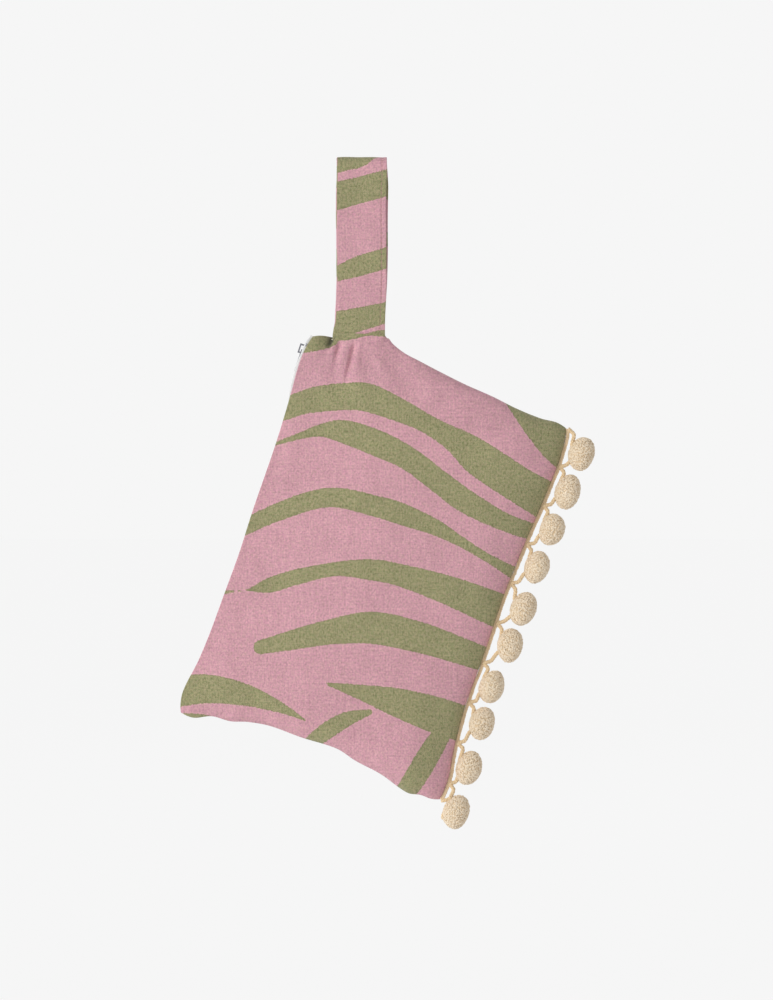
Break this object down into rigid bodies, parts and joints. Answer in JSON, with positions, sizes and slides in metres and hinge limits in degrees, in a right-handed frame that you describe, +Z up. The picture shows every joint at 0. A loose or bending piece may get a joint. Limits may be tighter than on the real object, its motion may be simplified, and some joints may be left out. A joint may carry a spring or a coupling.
{
  "type": "pochette",
  "caption": "Flat zipped cloth pochette with a folded wrist strap sewn in beside the zip and a pompom braid along the edge opposite the mouth.",
  "frame": {"origin": "Where a peg, hook or wrist carries the strap: the middle of the inner top of the strap's loop.", "axes": "+Z is up as the pochette hangs, +X is to the right seen from the front, and the front faces -Y."},
  "size_m": [0.2966, 0.0252, 0.4818],
  "materials": {
    "printed_cloth": "linen-like woven cloth, dusty pink with olive green zebra stripes, matt",
    "strap_cloth": "the same printed cloth, folded to a band and topstitched",
    "lining_cloth": "plain ecru cotton, matt",
    "zip_tape": "white woven polyester tape",
    "zip_coil": "white moulded nylon coil",
    "zip_metal": "nickel plated, lightly worn",
    "trim_yarn": "beige twisted cotton yarn",
    "pompom_yarn": "beige cut cotton yarn, fluffy"
  },
  "bodies": {
    "strap": {"wrist_strap": "strap_cloth"},
    "pouch": {"back_panel": "printed_cloth", "back_lining": "lining_cloth", "zip_tape_back": "zip_tape", "zip_teeth_back": "zip_coil", "zip_top_stop_back": "zip_metal", "zip_bottom_stop": "zip_metal", "trim_braid": "trim_yarn"},
    "front_half": {"front_panel": "printed_cloth", "front_lining": "lining_cloth", "zip_tape_front": "zip_tape", "zip_teeth_front": "zip_coil", "zip_top_stop_front": "zip_metal"},
    "slider": {"zip_slider": "zip_metal"},
    "pull": {"zip_pull": "zip_metal"},
    "pom_01": {"pompom_loop_01": "trim_yarn", "pompom_01": "pompom_yarn"},
    "pom_02": {"pompom_loop_02": "trim_yarn", "pompom_02": "pompom_yarn"},
    "pom_03": {"pompom_loop_03": "trim_yarn", "pompom_03": "pompom_yarn"},
    "pom_04": {"pompom_loop_04": "trim_yarn", "pompom_04": "pompom_yarn"},
    "pom_05": {"pompom_loop_05": "trim_yarn", "pompom_05": "pompom_yarn"},
    "pom_06": {"pompom_loop_06": "trim_yarn", "pompom_06": "pompom_yarn"},
    "pom_07": {"pompom_loop_07": "trim_yarn", "pompom_07": "pompom_yarn"},
    "pom_08": {"pompom_loop_08": "trim_yarn", "pompom_08": "pompom_yarn"},
    "pom_09": {"pompom_loop_09": "trim_yarn", "pompom_09": "pompom_yarn"},
    "pom_10": {"pompom_loop_10": "trim_yarn", "pompom_10": "pompom_yarn"}
  },
  "joints": [
    {"name": "strap_fold", "type": "hinge", "parent": "strap", "child": "pouch", "pos_m": [0, 0, -0.128], "axis": [1, 0, 0], "range_deg": [-80, 80]},
    {"name": "mouth_open", "type": "hinge", "parent": "pouch", "child": "front_half", "pos_m": [0.10539, -0.003, -0.32757], "axis": [0.3156, 0, 0.9489], "range_deg": [0, 12]},
    {"name": "zip_slide", "type": "slide", "parent": "pouch", "child": "slider", "axis": [-0.3156, 0, -0.9489], "range_m": [0, 0.245]},
    {"name": "pull_swing", "type": "hinge", "parent": "slider", "child": "pull", "pos_m": [-0.04272, 0, -0.13729], "axis": [0, 1, 0], "range_deg": [0, 165]},
    {"name": "pom_swing_01", "type": "hinge", "parent": "pouch", "child": "pom_01", "pos_m": [0.14786, 0, -0.2081], "axis": [-0.2318, 0, -0.9728], "range_deg": [-65, 65]},
    {"name": "pom_swing_02", "type": "hinge", "parent": "pouch", "child": "pom_02", "pos_m": [0.1388, 0, -0.2357], "axis": [-0.3797, 0, -0.9251], "range_deg": [-65, 65]},
    {"name": "pom_swing_03", "type": "hinge", "parent": "pouch", "child": "pom_03", "pos_m": [0.12707, 0, -0.26357], "axis": [-0.3947, 0, -0.9188], "range_deg": [-65, 65]},
    {"name": "pom_swing_04", "type": "hinge", "parent": "pouch", "child": "pom_04", "pos_m": [0.1153, 0, -0.29146], "axis": [-0.3826, 0, -0.9239], "range_deg": [-65, 65]},
    {"name": "pom_swing_05", "type": "hinge", "parent": "pouch", "child": "pom_05", "pos_m": [0.10447, 0, -0.31967], "axis": [-0.3315, 0, -0.9435], "range_deg": [-65, 65]},
    {"name": "pom_swing_06", "type": "hinge", "parent": "pouch", "child": "pom_06", "pos_m": [0.09471, 0, -0.34823], "axis": [-0.3192, 0, -0.9477], "range_deg": [-65, 65]},
    {"name": "pom_swing_07", "type": "hinge", "parent": "pouch", "child": "pom_07", "pos_m": [0.08461, 0, -0.37668], "axis": [-0.3471, 0, -0.9378], "range_deg": [-65, 65]},
    {"name": "pom_swing_08", "type": "hinge", "parent": "pouch", "child": "pom_08", "pos_m": [0.07527, 0, -0.40537], "axis": [-0.2665, 0, -0.9638], "range_deg": [-65, 65]},
    {"name": "pom_swing_09", "type": "hinge", "parent": "pouch", "child": "pom_09", "pos_m": [0.06828, 0, -0.43462], "axis": [-0.2, 0, -0.9798], "range_deg": [-65, 65]},
    {"name": "pom_swing_10", "type": "hinge", "parent": "pouch", "child": "pom_10", "pos_m": [0.06258, 0, -0.45539], "axis": [-0.4049, 0, -0.9144], "range_deg": [-65, 65]}
  ],
  "couplings": [
    {"joint": "mouth_open", "follows": "zip_slide", "rad_per_m": 0.85}
  ]
}
